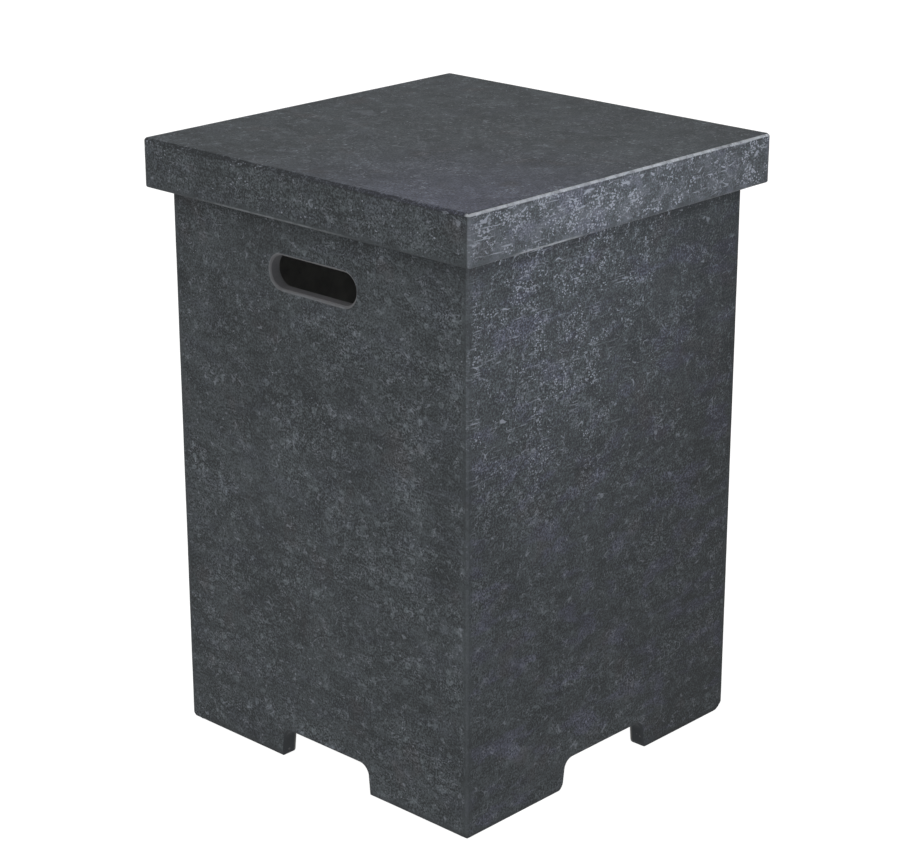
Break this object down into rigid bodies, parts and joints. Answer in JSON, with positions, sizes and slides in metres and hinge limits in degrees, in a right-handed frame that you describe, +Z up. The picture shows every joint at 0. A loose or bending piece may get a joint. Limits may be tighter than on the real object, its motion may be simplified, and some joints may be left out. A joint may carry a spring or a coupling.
{
  "type": "propane tank cover table",
  "caption": "Square cast-concrete side table that hides a gas cylinder: hollow shell on corner feet, handle slots near the top, cap lid that lifts off.",
  "frame": {"origin": "on the floor under the middle of the table", "axes": "+Z up through the lid, the front wall with a handle slot faces -Y, +X to the right of it"},
  "size_m": [0.42, 0.42, 0.6],
  "materials": {
    "cast_concrete": "dark slate-grey cast concrete with a faux-stone face: fine pits, worm-like mottling, drawn streaks and lighter clouds, matt with a slight sheen",
    "rubber": "matt black rubber"
  },
  "bodies": {
    "cover": {"body_shell": "cast_concrete", "foot_pad_front_left": "rubber", "foot_pad_front_right": "rubber", "foot_pad_back_left": "rubber", "foot_pad_back_right": "rubber"},
    "lid": {"lid": "cast_concrete", "lid_bumper_front_left": "rubber", "lid_bumper_front_right": "rubber", "lid_bumper_back_left": "rubber", "lid_bumper_back_right": "rubber"}
  },
  "joints": [
    {"name": "lid_lift", "type": "slide", "parent": "cover", "child": "lid", "axis": [0, 0, 1], "range_m": [0, 0.3]}
  ]
}
